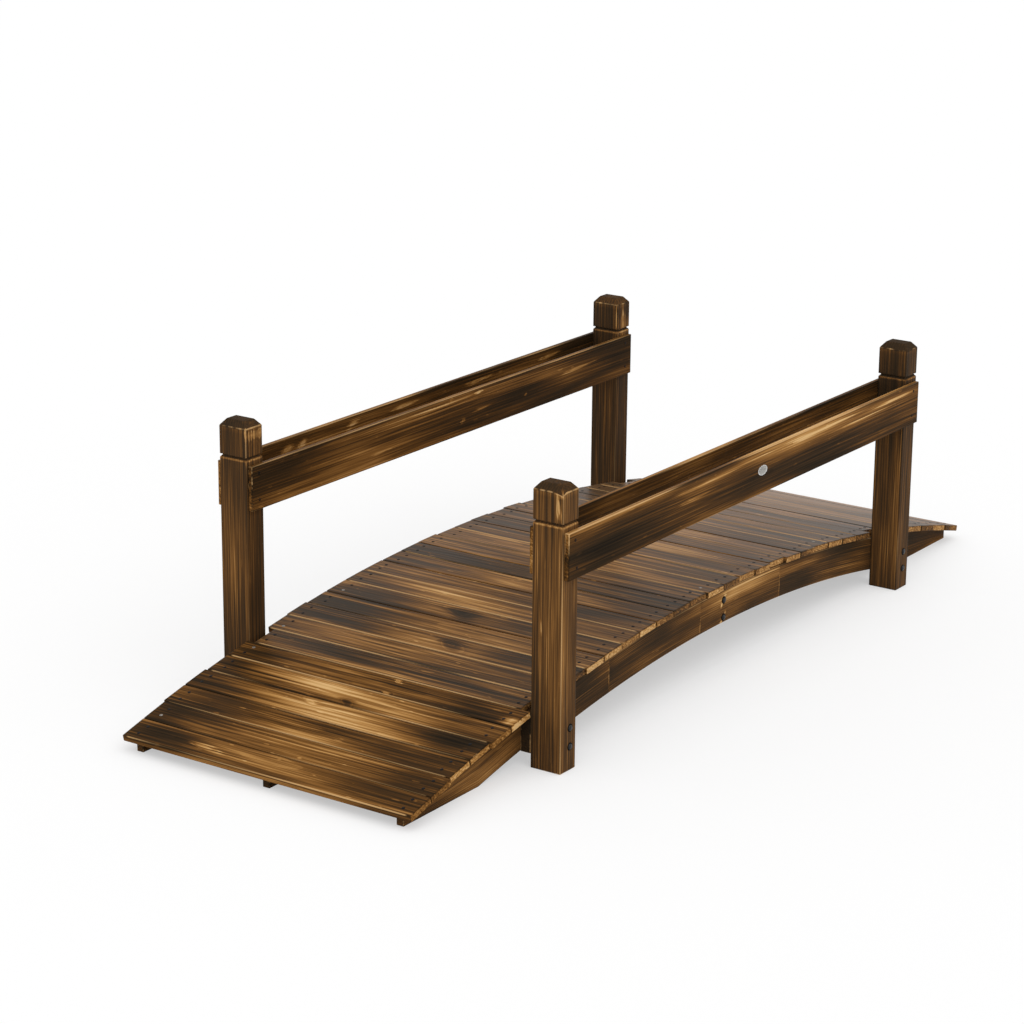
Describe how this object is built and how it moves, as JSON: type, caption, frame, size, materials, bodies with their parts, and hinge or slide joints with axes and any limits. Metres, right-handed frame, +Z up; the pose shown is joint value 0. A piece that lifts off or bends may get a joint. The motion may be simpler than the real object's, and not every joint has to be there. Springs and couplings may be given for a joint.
{
  "type": "garden footbridge",
  "caption": "Low arched wooden garden footbridge: crosswise deck boards on arched beams with ramped ends, corner posts with grooved heads and paired side rails.",
  "frame": {"origin": "centre of the footprint on the ground, midway along and across the bridge", "axes": "+X along the walk towards the far end, +Y to the left side, +Z up"},
  "size_m": [2.2986, 0.889, 0.5969],
  "materials": {
    "deck_wood": "satin",
    "post_wood": "satin",
    "rail_wood": "satin",
    "beam_wood": "satin",
    "bolt_black": "satin",
    "nail_steel": "dull",
    "plate_metal": "satin"
  },
  "bodies": {
    "root": {"near_ramp_board_1": "deck_wood", "near_ramp_board_2": "deck_wood", "near_ramp_board_3": "deck_wood", "near_ramp_board_4": "deck_wood", "near_ramp_board_5": "deck_wood", "near_ramp_board_6": "deck_wood", "near_post_board": "deck_wood", "span_board_01": "deck_wood", "span_board_02": "deck_wood", "span_board_03": "deck_wood", "span_board_04": "deck_wood", "span_board_05": "deck_wood", "span_board_06": "deck_wood", "span_board_07": "deck_wood", "span_board_08": "deck_wood", "span_board_09": "deck_wood", "span_board_10": "deck_wood", "span_board_11": "deck_wood", "span_board_12": "deck_wood", "span_board_13": "deck_wood", "span_board_14": "deck_wood", "span_board_15": "deck_wood", "span_board_16": "deck_wood", "span_board_17": "deck_wood", "span_board_18": "deck_wood", "span_board_19": "deck_wood", "span_board_20": "deck_wood", "far_post_board": "deck_wood", "far_ramp_board_6": "deck_wood", "far_ramp_board_5": "deck_wood", "far_ramp_board_4": "deck_wood", "far_ramp_board_3": "deck_wood", "far_ramp_board_2": "deck_wood", "far_ramp_board_1": "deck_wood", "left_near_post": "post_wood", "right_near_post": "post_wood", "left_far_post": "post_wood", "right_far_post": "post_wood", "left_outer_rail": "rail_wood", "left_inner_rail": "rail_wood", "right_inner_rail": "rail_wood", "right_outer_rail": "rail_wood", "left_arch_beam": "beam_wood", "right_arch_beam": "beam_wood", "left_stringer": "beam_wood", "middle_stringer": "beam_wood", "right_stringer": "beam_wood"}
  },
  "joints": []
}
